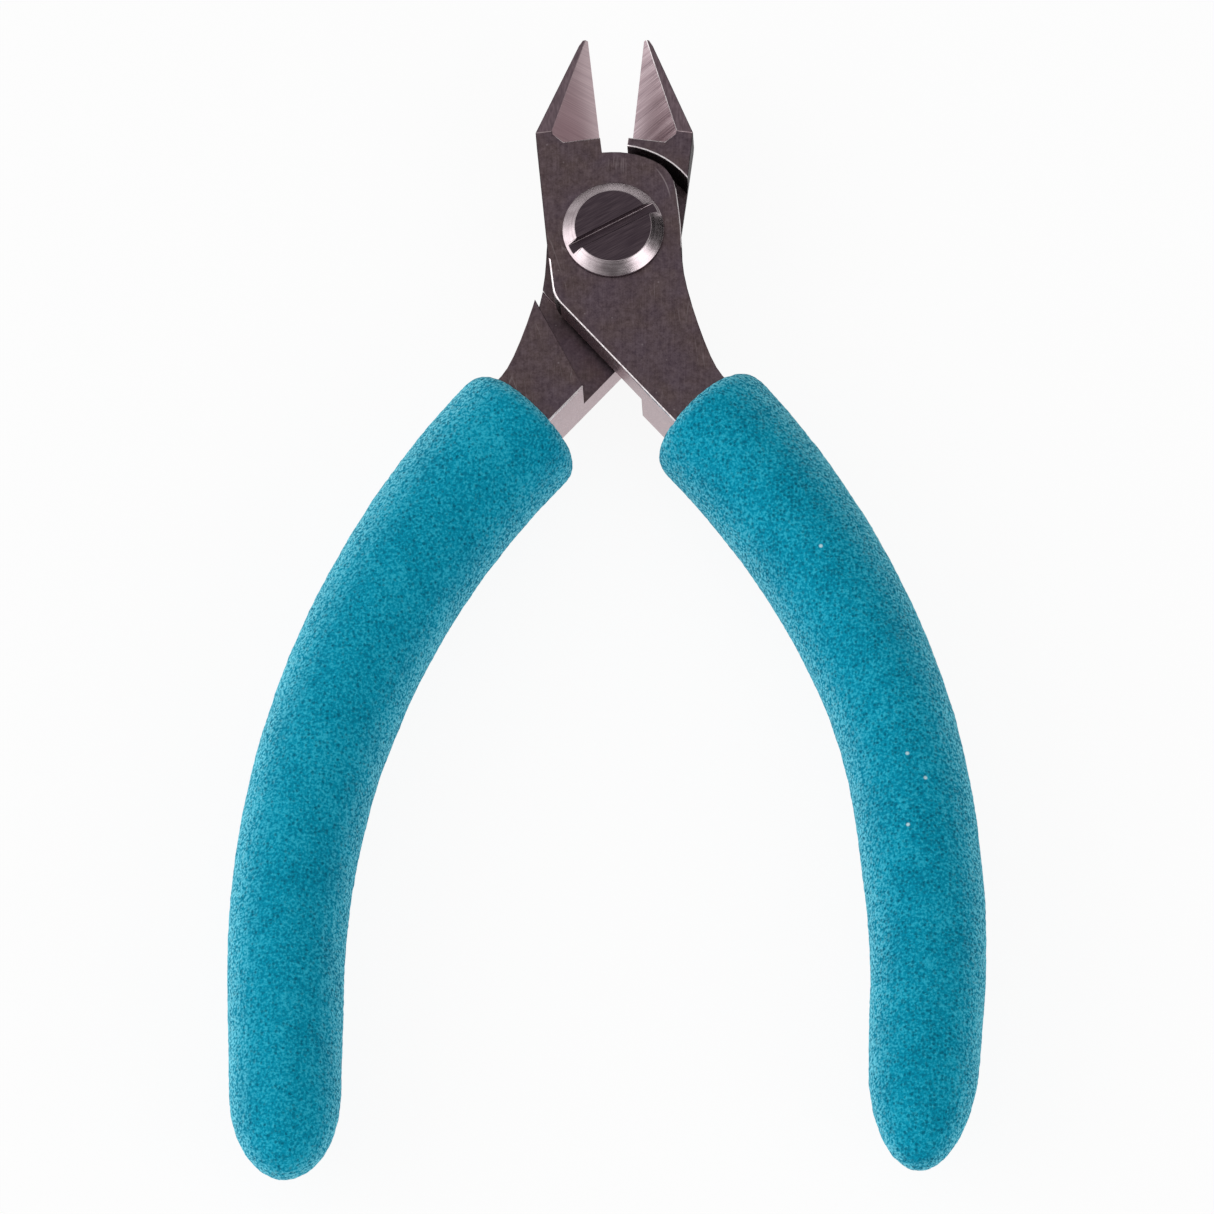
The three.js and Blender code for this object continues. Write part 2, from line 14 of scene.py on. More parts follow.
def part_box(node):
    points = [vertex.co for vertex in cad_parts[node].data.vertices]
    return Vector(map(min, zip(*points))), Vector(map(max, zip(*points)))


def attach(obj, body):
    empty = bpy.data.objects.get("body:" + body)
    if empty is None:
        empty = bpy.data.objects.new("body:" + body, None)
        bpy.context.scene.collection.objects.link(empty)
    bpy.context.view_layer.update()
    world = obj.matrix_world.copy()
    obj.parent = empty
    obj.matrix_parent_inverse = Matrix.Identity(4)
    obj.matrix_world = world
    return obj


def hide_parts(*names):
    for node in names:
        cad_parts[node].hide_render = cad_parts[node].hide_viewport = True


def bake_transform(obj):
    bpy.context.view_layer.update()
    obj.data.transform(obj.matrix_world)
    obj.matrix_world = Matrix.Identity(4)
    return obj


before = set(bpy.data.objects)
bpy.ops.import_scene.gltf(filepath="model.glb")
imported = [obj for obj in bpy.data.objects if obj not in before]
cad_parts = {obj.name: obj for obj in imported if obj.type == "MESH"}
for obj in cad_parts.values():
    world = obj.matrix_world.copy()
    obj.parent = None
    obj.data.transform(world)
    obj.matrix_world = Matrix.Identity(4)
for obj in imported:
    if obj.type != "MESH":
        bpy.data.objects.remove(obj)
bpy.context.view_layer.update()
MM = 0.001
print("pieces of the frame:", sorted(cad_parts))

# %% [markdown]
# Finishes are node trees. One helper adds a node, sets its properties and fills its inputs with
# values or with links, so that a material reads as a list of steps. Colours are written as the
# sRGB values that the eye sees and turned to linear light, which is what the shader needs. Places
# reach the patterns in millimetres, so a pattern's size can be written as it is on the real thing.
# The sockets of a Mix node share their names, so they go by number: 0 is the share, 2 and 3 take
# plain numbers, 6 and 7 take colours, and a mixed colour comes out at number 2.


# %% Colours and nodes
def linear(code):
    # The sRGB curve is a short straight foot and then a power.
    channels = [int(code[i:i + 2], 16) / 255 for i in (1, 3, 5)]
    light = [c / 12.92 if c <= 0.04045 else ((c + 0.055) / 1.055) ** 2.4 for c in channels]
    return (*light, 1.0)


def add(tree, kind, inputs, stops=(), **settings):
    made = tree.nodes.new(kind)
    for name, value in settings.items():
        setattr(made, name, value)
    for name, value in inputs.items():
        if isinstance(value, bpy.types.Node):
            value = value.outputs[0]
        if isinstance(value, bpy.types.NodeSocket):
            tree.links.new(value, made.inputs[name])
        else:
            made.inputs[name].default_value = value
    for count, (place, code) in enumerate(stops):
        points = made.color_ramp.elements
        point = points[count] if count < len(points) else points.new(place)
        point.position = place
        point.color = linear(code)
    return made


def start_material(name, **constants):
    made = bpy.data.materials.new(name)
    made.use_nodes = True
    tree = made.node_tree
    shader = tree.nodes["Principled BSDF"]
    for socket, value in constants.items():
        shader.inputs[socket.replace("_", " ")].default_value = value
    place = add(tree, "ShaderNodeTexCoord", {}).outputs["Object"]
    in_mm = add(tree, "ShaderNodeVectorMath", {0: place, "Scale": 1 / MM}, operation="SCALE")
    return made, tree, shader, in_mm


def connect(tree, shader, **sources):
    for socket, source in sources.items():
        tree.links.new(source, shader.inputs[socket.replace("_", " ")])


print("white in linear light:", linear("#ffffff"))

# %% [markdown]
# Use leaves paler marks on dark steel: a few hair scratches and specks, a rubbed patch behind the
# notch of the jaws, and one thin arc beside the screw, where a screwdriver slipped. Each mark is a
# mask of place with a strength from 0 to 1. Hair scratches are the borders of long thin cells, and
# they show only inside some cloudy patches, because real ones come in groups.

# %% Marks of use
SCRATCH_MM = (0.7, 9.0, 0.7)
SCRATCH_LEAN = radians(7)
SCRATCH_STRENGTH = 0.22
SPECK_MM = 1.6
SPECK_STRENGTH = 0.2
RUB_CENTRE_MM = (0.3, 6.7, 7.4)
RUB_MM = 1.1
RUB_STRENGTH = 0.45
ARC_CENTRE_MM = (-0.8, 2.4, 0)
ARC_RADIUS_MM = 6.2
ARC_HALF_WIDTH_MM = 0.09
ARC_TOWARDS = (0.91, 0.42, 0)
ARC_END_COSINE = 0.955
ARC_STRENGTH = 0.45
# Times this, a place loses its height.
ON_PLAN = (1, 1, 0)


def scratches_and_specks(tree, place, clouds):
    leaning = add(tree, "ShaderNodeMapping", {
        "Vector": place, "Rotation": (0, 0, SCRATCH_LEAN), "Scale": SCRATCH_MM}, vector_type="TEXTURE")
    cracks = add(tree, "ShaderNodeTexVoronoi", {"Vector": leaning, "Scale": 1.0}, feature="DISTANCE_TO_EDGE")
    hair = add(tree, "ShaderNodeMapRange", {
        "Value": cracks, "From Max": 0.03, "To Min": SCRATCH_STRENGTH, "To Max": 0.0})
    spread = add(tree, "ShaderNodeMapRange", {"Value": clouds, "From Min": 0.55, "From Max": 0.7})
    scratches = add(tree, "ShaderNodeMath", {0: hair, 1: spread}, operation="MULTIPLY")
    cells = add(tree, "ShaderNodeTexVoronoi", {"Vector": place, "Scale": 1 / SPECK_MM})
    specks = add(tree, "ShaderNodeMapRange", {
        "Value": cells, "From Min": 0.04, "From Max": 0.07, "To Min": SPECK_STRENGTH, "To Max": 0.0})
    return add(tree, "ShaderNodeMath", {0: scratches, 1: specks}, operation="MAXIMUM")


def slip_arc(tree, place):
    flat = add(tree, "ShaderNodeVectorMath", {0: place, 1: ON_PLAN}, operation="MULTIPLY")
    from_centre = add(tree, "ShaderNodeVectorMath", {0: flat, 1: ARC_CENTRE_MM}, operation="SUBTRACT")
    radius = add(tree, "ShaderNodeVectorMath", {0: from_centre}, operation="LENGTH").outputs["Value"]
    off_ring = add(tree, "ShaderNodeMath", {0: radius, 1: ARC_RADIUS_MM}, operation="SUBTRACT")
    off_line = add(tree, "ShaderNodeMath", {0: off_ring}, operation="ABSOLUTE")
    line = add(tree, "ShaderNodeMapRange", {
        "Value": off_line, "From Max": ARC_HALF_WIDTH_MM, "To Min": ARC_STRENGTH, "To Max": 0.0})
    heading = add(tree, "ShaderNodeVectorMath", {0: from_centre}, operation="NORMALIZE")
    side = add(tree, "ShaderNodeVectorMath", {0: heading, 1: ARC_TOWARDS}, operation="DOT_PRODUCT")
    stretch = add(tree, "ShaderNodeMapRange", {
        "Value": side.outputs["Value"], "From Min": ARC_END_COSINE, "From Max": 1.0})
    return add(tree, "ShaderNodeMath", {0: line, 1: stretch}, operation="MULTIPLY")


def rubbed_patch(tree, place, streaks):
    away = add(tree, "ShaderNodeVectorMath", {0: place, 1: RUB_CENTRE_MM}, operation="DISTANCE")
    patch = add(tree, "ShaderNodeMapRange", {
        "Value": away.outputs["Value"], "From Max": RUB_MM, "To Min": RUB_STRENGTH, "To Max": 0.0})
    strokes = add(tree, "ShaderNodeMapRange", {"Value": streaks, "From Min": 0.5, "From Max": 0.62})
    return add(tree, "ShaderNodeMath", {0: patch, 1: strokes}, operation="MULTIPLY")


print("arc of the slip:", 2 * ARC_HALF_WIDTH_MM, "mm wide; rubbed patch:", 2 * RUB_MM, "mm wide")

# %% [markdown]
# The faces of the halves are carbon tool steel, milled flat, drawn along the tool on a fine belt
# and then darkened. The eye sees a warm dark grey with a soft shine, a fine mottling, very faint
# streaks along the tool and cloudy patches of a browner tone. A noise that is long along Y and
# short across gives the streaks; mixed with a fine even noise it drives colour, roughness and bump
# together, because on real steel they are one thing. The real streaks are finer than 0.1 mm and
# are drawn coarser, so that they show. The marks of use are laid over that as a paler tone.

# %% Belt-finished tool steel
STREAK_MM = (0.16, 3.5, 0.16)
STREAK_SHARE = 0.25
STREAK_DEPTH = 0.02 * MM
MOTTLE_MM = 0.45
CLOUD_MM = 3.0
SCRATCH_TONE = "#cdbfc2"


def dark_steel():
    made, tree, shader, place = start_material("belt_finished_tool_steel", Metallic=1.0)
    along = add(tree, "ShaderNodeMapping", {"Vector": place, "Scale": STREAK_MM}, vector_type="TEXTURE")
    streaks = add(tree, "ShaderNodeTexNoise", {
        "Vector": along, "Scale": 1.0, "Detail": 3.0, "Roughness": 0.6})
    mottle = add(tree, "ShaderNodeTexNoise", {
        "Vector": place, "Scale": 1 / MOTTLE_MM, "Detail": 4.0, "Roughness": 0.75})
    tone = add(tree, "ShaderNodeMix", {0: STREAK_SHARE, 2: mottle, 3: streaks})
    clouds = add(tree, "ShaderNodeTexNoise", {"Vector": place, "Scale": 1 / CLOUD_MM, "Detail": 3.0})
    grey = add(tree, "ShaderNodeValToRGB", {"Fac": tone},
               stops=((0.37, "#564851"), (0.5, "#66575f"), (0.63, "#75666e")))
    brown = add(tree, "ShaderNodeValToRGB", {"Fac": tone},
                stops=((0.37, "#58494a"), (0.5, "#675758"), (0.63, "#776668")))
    warmth = add(tree, "ShaderNodeMapRange", {"Value": clouds, "From Min": 0.35, "From Max": 0.65})
    base = add(tree, "ShaderNodeMix", {0: warmth, 6: grey, 7: brown}, data_type="RGBA")
    lines = add(tree, "ShaderNodeMath", {
        0: slip_arc(tree, place), 1: rubbed_patch(tree, place, streaks)}, operation="MAXIMUM")
    marks = add(tree, "ShaderNodeMath", {
        0: scratches_and_specks(tree, place, clouds), 1: lines}, operation="MAXIMUM")
    colour = add(tree, "ShaderNodeMix", {
        0: marks, 6: base.outputs[2], 7: linear(SCRATCH_TONE)}, data_type="RGBA")
    gloss = add(tree, "ShaderNodeMapRange", {
        "Value": tone, "From Min": 0.3, "From Max": 0.7, "To Min": 0.4, "To Max": 0.52})
    bump = add(tree, "ShaderNodeBump", {"Height": tone, "Strength": 0.15, "Distance": STREAK_DEPTH})
    connect(tree, shader, Base_Color=colour.outputs[2], Roughness=gloss.outputs[0], Normal=bump.outputs[0])
    return made


FACE = dark_steel()
print("finish:", FACE.name)

# %% [markdown]
# Bare ground steel shows the lines of the wheel or belt that cut it, and light breaks into fine
# pale and dark strokes along them. One function makes every finish of that kind, from the size of
# the lines, their direction and three tones. The real lines are a few hundredths of a millimetre
# apart; they are drawn coarser here, so that they show. On the jaws they run straight through the
# depth of the piece, because a slope must not break them. A wheel also bears harder here and there,
# which leaves wider light and dark bands the same way.

# %% Ground tool steel
LINE_DEPTH = 0.02 * MM
GLOSS_SPREAD = 0.08
BAND_LINES = 11.0
LINE_STOPS = (0.35, 0.5, 0.65)


def ground_steel(name, line_mm, turn, band_share, roughness, tones):
    made, tree, shader, place = start_material(name, Metallic=1.0)
    turned = add(tree, "ShaderNodeMapping", {
        "Vector": place, "Rotation": (0, 0, radians(turn)), "Scale": line_mm}, vector_type="TEXTURE")
    fine = add(tree, "ShaderNodeTexNoise", {"Vector": turned, "Scale": 1.0, "Detail": 2.0})
    bands = add(tree, "ShaderNodeTexNoise", {"Vector": turned, "Scale": 1 / BAND_LINES, "Detail": 1.0})
    lines = add(tree, "ShaderNodeMix", {0: band_share, 2: fine, 3: bands})
    colour = add(tree, "ShaderNodeValToRGB", {"Fac": lines}, stops=tuple(zip(LINE_STOPS, tones)))
    gloss = add(tree, "ShaderNodeMapRange", {
        "Value": lines, "From Min": 0.3, "From Max": 0.7,
        "To Min": roughness - GLOSS_SPREAD, "To Max": roughness + GLOSS_SPREAD})
    bump = add(tree, "ShaderNodeBump", {"Height": lines, "Strength": 0.35, "Distance": LINE_DEPTH})
    connect(tree, shader, Base_Color=colour.outputs[0], Roughness=gloss.outputs[0], Normal=bump.outputs[0])
    return made


print("drawn lines are", LINE_DEPTH / MM, "mm deep")

# %% [markdown]
# The finishes differ in how they were cut. Worn edges are polished by use, and they are drawn
# near white, paler than bare steel, as a painted highlight. The walls of the arms are drawn along
# the arm and look pale and even. The inner slopes of both jaws are wheel-ground: the left one is
# calm, and the right one is drawn with strong bands and a wider range of tone, a painted reflection
# of the light from the left. The outer slopes of the jaws are satin, a tone above the faces. The
# outer sides of the head are drawn dull and darker than the faces, as painted shade, and the flat
# top of the screw is darkened, with faint lines that run along its slot.

# %% Finishes of ground steel
# Near white, paler than bare steel: worn edges drawn with a painted highlight.
EDGE = ground_steel("polished_edge_painted_highlight", line_mm=(0.2, 0.8, 0.2), turn=0, band_share=0, roughness=0.3,
                    tones=("#dccfd2", "#ebe2e4", "#f6f0f1"))
WALL = ground_steel("drawn_side_steel", line_mm=(0.12, 2.5, 0.12), turn=0, band_share=0.2, roughness=0.4,
                    tones=("#a99599", "#b9a6aa", "#c9b8bb"))
LEFT_BEVEL = ground_steel("wheel_ground_steel", line_mm=(0.08, 6, 50), turn=89, band_share=0.2,
                          roughness=0.38, tones=("#af9b9f", "#beaaae", "#ccb9bc"))
# Strong bands and a wide range of tone: painted reflection of the light from the left.
RIGHT_BEVEL = ground_steel("ground_steel_painted_reflection", line_mm=(0.08, 6, 50), turn=103, band_share=0.4,
                           roughness=0.33, tones=("#8b797f", "#b7a1a7", "#e3d2d6"))
JAW = ground_steel("satin_jaw_steel", line_mm=(0.2, 1.5, 0.2), turn=0, band_share=0.2, roughness=0.45,
                   tones=("#736269", "#826f76", "#917e85"))
# Darker than the faces: painted shade on the outer sides of the head.
SIDE = ground_steel("dark_side_steel_painted_shade", line_mm=(0.5, 0.8, 0.5), turn=0, band_share=0.2, roughness=0.62,
                    tones=("#2e2729", "#383032", "#443b3d"))
SCREW_TOP = ground_steel("darkened_screw_steel", line_mm=(0.07, 2, 50), turn=120, band_share=0.1,
                         roughness=0.42, tones=("#463b42", "#51454c", "#605359"))
for finish in (EDGE, WALL, LEFT_BEVEL, RIGHT_BEVEL, JAW, SIDE, SCREW_TOP):
    print("finish:", finish.name)

# %% [markdown]
# The cone of the joint screw is turned on a lathe, which leaves fine rings round its axis. Light
# then smears across the rings, and bright sectors show on the cone instead of one round highlight:
# that is what anisotropy with a tangent round Z does. Rings need the distance from the axis, so the
# shader takes the length of X and Y and feeds it to a noise in one dimension. The real rings are
# finer; they are drawn as coarse as they need to be to show. The pieces of spring steel inside the
# joint take the same tree without the smear, in a plain grey.

# %% Turned steel
RING_MM = 0.07
RING_DEPTH = 0.015 * MM
STAIN_MM = 1.1
STAIN_SHARE = 0.5
RING_STOPS = (0.32, 0.5, 0.68)


def turned_steel(name, roughness, smear, tones):
    made, tree, shader, place = start_material(name, Metallic=1.0, Anisotropic=smear)
    flat = add(tree, "ShaderNodeVectorMath", {0: place, 1: ON_PLAN}, operation="MULTIPLY")
    radius = add(tree, "ShaderNodeVectorMath", {0: flat}, operation="LENGTH")
    rings = add(tree, "ShaderNodeTexNoise", {
        "W": radius.outputs["Value"], "Scale": 1 / RING_MM, "Detail": 3.0}, noise_dimensions="1D")
    stains = add(tree, "ShaderNodeTexNoise", {"Vector": place, "Scale": 1 / STAIN_MM, "Detail": 3.0})
    tone = add(tree, "ShaderNodeMix", {0: STAIN_SHARE, 2: rings, 3: stains})
    colour = add(tree, "ShaderNodeValToRGB", {"Fac": tone}, stops=tuple(zip(RING_STOPS, tones)))
    gloss = add(tree, "ShaderNodeMapRange", {
        "Value": tone, "From Min": 0.3, "From Max": 0.7,
        "To Min": roughness - GLOSS_SPREAD, "To Max": roughness + GLOSS_SPREAD})
    bump = add(tree, "ShaderNodeBump", {"Height": rings, "Strength": 0.3, "Distance": RING_DEPTH})
    round_axis = add(tree, "ShaderNodeTangent", {}, direction_type="RADIAL", axis="Z")
    connect(tree, shader, Base_Color=colour.outputs[0], Roughness=gloss.outputs[0],
            Normal=bump.outputs[0], Tangent=round_axis.outputs[0])
    return made


SCREW_BEVEL = turned_steel("bright_turned_steel", roughness=0.26, smear=0.35,
                           tones=("#978a8e", "#b6a9ad", "#d0c5c8"))
SPRING = turned_steel("drawn_spring_steel", roughness=0.3, smear=0.0,
                      tones=("#8b8688", "#a09b9d", "#b6b1b3"))
print("finishes:", SCREW_BEVEL.name, SPRING.name)

# %% [markdown]
# The sleeves are rubber foam, dyed teal and ground to shape, which cuts its cells open. The eye
# sees a grain as fine as sand: teal cell walls, dark pores between them, and a paler, rougher look
# where the surface turns away, because loose cell walls catch light at a low angle as short fibres
# do. A cell pattern makes the pores, and only some cells are open, picked at random; their darker
# teal is painted shade inside them, and a bump gives their depth. The paler look is a sheen in two
# parts: the shader's own, and a painted sheen of pale grains that Layer Weight mixes into the
# colour towards the outline. The real cells are a little finer than the drawn ones, which have to
# show. Lint on the right sleeve shows as a few pale flecks.

# %% Ground foam rubber
CELL_MM = 0.34
GRAIN_MM = 0.26
PATCH_MM = 4.0
PATCH_SHARE = 0.2
PORE_DEPTH = 0.16 * MM
PORE_STRENGTH = 0.55
# The pores' darker teal is painted shade inside the open cells.
PORE_SHADE_TONE = "#005c76"
# Painted sheen: how much pale grain comes in at the outline, and its tone.
PAINTED_SHEEN_SHARE = 0.9
PAINTED_SHEEN_TONE = "#84e2f4"
SHEEN_TONE = "#b9ecf5"
# A fleck of lint is full inside the first radius and gone at the second.
LINT_MM = (0.1, 0.22)
LINT_STRENGTH = 0.9
LINT_TONE = "#cfeef4"


def lint(tree, place, colour, flecks_mm):
    for spot in flecks_mm:
        above = add(tree, "ShaderNodeVectorMath", {0: place, 1: ON_PLAN}, operation="MULTIPLY")
        away = add(tree, "ShaderNodeVectorMath", {0: above, 1: (*spot, 0)}, operation="DISTANCE")
        fleck = add(tree, "ShaderNodeMapRange", {
            "Value": away.outputs["Value"], "From Min": LINT_MM[0], "From Max": LINT_MM[1],
            "To Min": LINT_STRENGTH, "To Max": 0.0})
        flecked = add(tree, "ShaderNodeMix", {0: fleck, 6: colour, 7: linear(LINT_TONE)}, data_type="RGBA")
        colour = flecked.outputs[2]
    return colour


def foam(name, open_share, flecks_mm):
    made, tree, shader, place = start_material(
        name, Roughness=0.9, IOR=1.45, Specular_IOR_Level=0.12,
        Sheen_Weight=0.15, Sheen_Roughness=0.3, Sheen_Tint=linear(SHEEN_TONE))
    cells = add(tree, "ShaderNodeTexVoronoi", {"Vector": place, "Scale": 1 / CELL_MM})
    chance = add(tree, "ShaderNodeSeparateColor", {0: cells.outputs["Color"]})
    is_open = add(tree, "ShaderNodeMath", {0: chance, 1: open_share}, operation="LESS_THAN")
    hole = add(tree, "ShaderNodeMapRange", {
        "Value": cells, "From Min": 0.2, "From Max": 0.55, "To Min": PORE_STRENGTH, "To Max": 0.0})
    pores = add(tree, "ShaderNodeMath", {0: hole, 1: is_open}, operation="MULTIPLY")
    grain = add(tree, "ShaderNodeTexNoise", {
        "Vector": place, "Scale": 1 / GRAIN_MM, "Detail": 2.0, "Roughness": 0.6})
    patches = add(tree, "ShaderNodeTexNoise", {"Vector": place, "Scale": 1 / PATCH_MM, "Detail": 2.0})
    tone = add(tree, "ShaderNodeMix", {0: PATCH_SHARE, 2: grain, 3: patches})
    walls = add(tree, "ShaderNodeValToRGB", {"Fac": tone},
                stops=((0.37, "#007d9b"), (0.5, "#0098b7"), (0.63, "#2fb5d0")))
    # Painted shade: the open pores are darkened in the colour.
    with_pore_shade = add(tree, "ShaderNodeMix", {0: pores, 6: walls, 7: linear(PORE_SHADE_TONE)}, data_type="RGBA")
    # Painted sheen: pale grains mixed into the colour where the surface turns from the view.
    turned = add(tree, "ShaderNodeLayerWeight", {"Blend": 0.5})
    rim = add(tree, "ShaderNodeMapRange", {
        "Value": turned.outputs["Facing"], "From Min": 0.1, "From Max": 0.85, "To Max": PAINTED_SHEEN_SHARE},
        interpolation_type="SMOOTHSTEP")
    loose = add(tree, "ShaderNodeMapRange", {"Value": grain, "From Min": 0.43, "From Max": 0.58})
    painted_sheen_mask = add(tree, "ShaderNodeMath", {0: rim, 1: loose}, operation="MULTIPLY")
    with_painted_sheen = add(tree, "ShaderNodeMix", {
        0: painted_sheen_mask, 6: with_pore_shade.outputs[2], 7: linear(PAINTED_SHEEN_TONE)}, data_type="RGBA")
    height = add(tree, "ShaderNodeMath", {0: grain, 1: pores}, operation="SUBTRACT")
    bump = add(tree, "ShaderNodeBump", {"Height": height, "Strength": 0.9, "Distance": PORE_DEPTH})
    connect(tree, shader, Base_Color=lint(tree, place, with_painted_sheen.outputs[2], flecks_mm), Normal=bump.outputs[0])
    return made


# X and Y of the lint on the right sleeve.
FLECKS_MM = ((19.8, -33.2), (28.0, -54.0), (29.7, -56.4), (28.1, -61.1))
LEFT_FOAM = foam("ground_foam_rubber", open_share=0.25, flecks_mm=())
RIGHT_FOAM = foam("ground_foam_rubber_open", open_share=0.45, flecks_mm=FLECKS_MM)
print("finishes:", LEFT_FOAM.name, RIGHT_FOAM.name)

# %% [markdown]
# The steel pieces of the frame are exact but knife-sharp, and real edges are never sharp: a stone
# or a wheel breaks them, and they show as thin bright lines. A copy of the node's mesh is merged
# into flat faces first. Edges shorter than the bevel are closed up, because a bevel that runs past
# them would fold over, and a face that this leaves hanging by one edge is taken away. Where only a
# part of an edge is to shine, the edge is parted there.

# %% Clean a steel node
SHORT_EDGE = 0.06 * MM
FLAT_ANGLE = radians(0.6)
ALONG_TOOL = (0, 1, 0)


def clean_shape(mesh, parted):
    shape = bmesh.new()
    shape.from_mesh(mesh)
    bmesh.ops.remove_doubles(shape, verts=shape.verts, dist=SHORT_EDGE)
    flaps = [f for f in shape.faces if any(len(e.link_faces) == 1 for e in f.edges)]
    bmesh.ops.delete(shape, geom=flaps, context="FACES")
    bmesh.ops.dissolve_limit(shape, angle_limit=FLAT_ANGLE, verts=shape.verts, edges=shape.edges)
    for chosen, y in parted:
        long_edges = [e for e in shape.edges if chosen(e)]
        bmesh.ops.bisect_plane(shape, geom=long_edges, plane_co=(0, y, 0), plane_no=ALONG_TOOL)
    print(mesh.name, "flat faces:", len(shape.faces), "flaps taken away:", len(flaps))
    return shape


print("edges under", SHORT_EDGE / MM, "mm are closed up")

# %% [markdown]
# The edges are then bevelled in passes, each with a rule that picks its edges, a width and a
# finish; an edge of a finished break is not broken again. Faces that no break has made get their
# finish from where they are and where they look. The copy replaces the node, so the shape stays
# that of the frame. Weighted normals keep the wide faces flat to the eye right up to the bevels.

# %% Break the edges of a steel node
SHARP_ANGLE = radians(24)
BREAK_STEPS = 2
ROUND_BREAK = 0.5


def break_edges(shape, finishes, finish_of, passes, piece_name):
    whole = len(finishes)
    for face in shape.faces:
        face.material_index = whole
    for chosen, width, finish in passes:
        edges = [e for e in shape.edges if len(e.link_faces) == 2
                 and all(f.material_index == whole for f in e.link_faces) and chosen(e)]
        bmesh.ops.bevel(shape, geom=edges, offset=width * MM, segments=BREAK_STEPS, profile=ROUND_BREAK,
                        affect="EDGES", clamp_overlap=False, material=finishes.index(finish))
        print(piece_name, len(edges), "edges broken by", width, "mm")
    for face in shape.faces:
        if face.material_index == whole:
            face.material_index = finishes.index(finish_of(face))
    print(piece_name, sum(len(e.link_faces) != 2 for e in shape.edges), "open edges")


def refined(node_name, piece_name, finishes, finish_of, passes, parted=()):
    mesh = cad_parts[node_name].data.copy()
    mesh.name = piece_name
    mesh.materials.clear()
    for finish in finishes:
        mesh.materials.append(finish)
    shape = clean_shape(mesh, parted)
    break_edges(shape, finishes, finish_of, passes, piece_name)
    shape.to_mesh(mesh)
    shape.free()
    mesh.shade_smooth()
    mesh.set_sharp_from_angle(angle=SHARP_ANGLE)
    piece = bpy.data.objects.new(piece_name, mesh)
    bpy.context.collection.objects.link(piece)
    flat_faces = piece.modifiers.new("flat_faces", "WEIGHTED_NORMAL")
    flat_faces.keep_sharp = True
    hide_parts(node_name)
    return piece


print("a break has", BREAK_STEPS, "steps")

# %% [markdown]
# Both halves take the same rules for their faces. The inner slopes and the undersides of the jaws
# show the marks of the wheel, and the outer slopes are satin. The walls of the arms are drawn
# bright. The wall of the step round the lap disc takes the near-white edge finish as a painted
# highlight, and the outer sides of the head take the dark side finish as painted shade. All the
# rest is dark belt-finished steel. A rule that looks at the middle of a face and the way it looks
# holds for both halves, where a list of face numbers would not.

# %% Finishes by place
FACE_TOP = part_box("front_half")[1].z
JAW_START = 8.6 * MM
ARM_START = -8.0 * MM
HEAD_SIDE = 5.0 * MM
LAP_RADIUS = 8.1 * MM
LAP_PLANE = FACE_TOP - 3.5 * MM
LAP_STEP = 0.5 * MM
# Shares of a face's normal along an axis: 1 looks straight along it.
LEVEL = 0.99
RAISED = 0.3
STRONG = 0.5


# Walls of the step round the lap disc, which take a painted highlight.
def on_lap_rim(spot):
    at_radius = abs(spot.xy.length - LAP_RADIUS) < SHORT_EDGE
    at_step = abs(spot.z - LAP_PLANE) < LAP_STEP
    return at_radius and at_step and spot.y < 0


def half_finish(bevel):
    def finish_of(face):
        look = face.normal
        spot = face.calc_center_median()
        is_jaw = spot.y > JAW_START
        is_wall = abs(look.z) < STRONG
        if is_jaw and look.z > RAISED and abs(look.x) > STRONG:
            return bevel
        if is_jaw and RAISED < look.z < LEVEL:
            return JAW
        if is_jaw and look.z < -STRONG:
            return bevel
        if is_wall and spot.y < ARM_START:
            return WALL
        # The step round the lap disc: near-white edge finish as a painted highlight.
        if is_wall and on_lap_rim(spot):
            return EDGE
        # Outer sides of the head: the dark side finish, as painted shade.
        if is_wall and abs(spot.x) > HEAD_SIDE:
            return SIDE
        return FACE
    return finish_of


print("front face at z =", round(FACE_TOP / MM, 2), "mm")

# %% [markdown]
# Hands and the other half polish the edges of the front face that look to the handles, so these
# get the widest break and the near-white finish, partly real wear and partly a painted highlight.
# The right side of the plate and the foot of each jaw slope have thinner bright lines of the same
# finish. Edges of the jaws take the finish of the slope, but the crest of the right jaw takes the
# near-white finish too, as a painted highlight, and the rest stay dark. Edges near the pivot lie
# under the screw head or inside the lap, where nothing shows them, so most rules leave a circle
# round it alone.

# %% Edges by place
JOINT_RADIUS = 6.0 * MM
LEAST_EDGE = 0.2 * MM
CREASE_ANGLE = radians(9)
SHINE_START = -2.9 * MM
PLATE_SIDE_START = -1.5 * MM
PLATE_SIDE_END = 5.0 * MM
# A wall looks to the handles when its normal leans this far to -Y.
TO_HANDLES = -0.2


def middle_of(edge):
    return (edge.verts[0].co + edge.verts[1].co) / 2


def wall_look(edge):
    return min((f.normal for f in edge.link_faces), key=lambda look: abs(look.z))


def long_enough(edge):
    return edge.calc_length() > LEAST_EDGE


def sharp_and_long(edge):
    return long_enough(edge) and edge.calc_face_angle() > SHARP_ANGLE


def off_joint(edge):
    return middle_of(edge).xy.length > JOINT_RADIUS


def on_front(edge):
    in_front = all(v.co.z > FACE_TOP - SHORT_EDGE for v in edge.verts)
    return in_front and edge.calc_face_angle() > SHARP_ANGLE and off_joint(edge)


def front_left(edge):
    return len(edge.link_faces) == 2 and on_front(edge) and middle_of(edge).x < 0


# Edges that take the widest near-white break: worn, and drawn with a painted highlight.
def polished(edge):
    look = wall_look(edge)
    spot = middle_of(edge)
    low_side = look.y < 0 and spot.x < 0 and spot.y < SHINE_START
    return on_front(edge) and (look.y < TO_HANDLES or low_side)


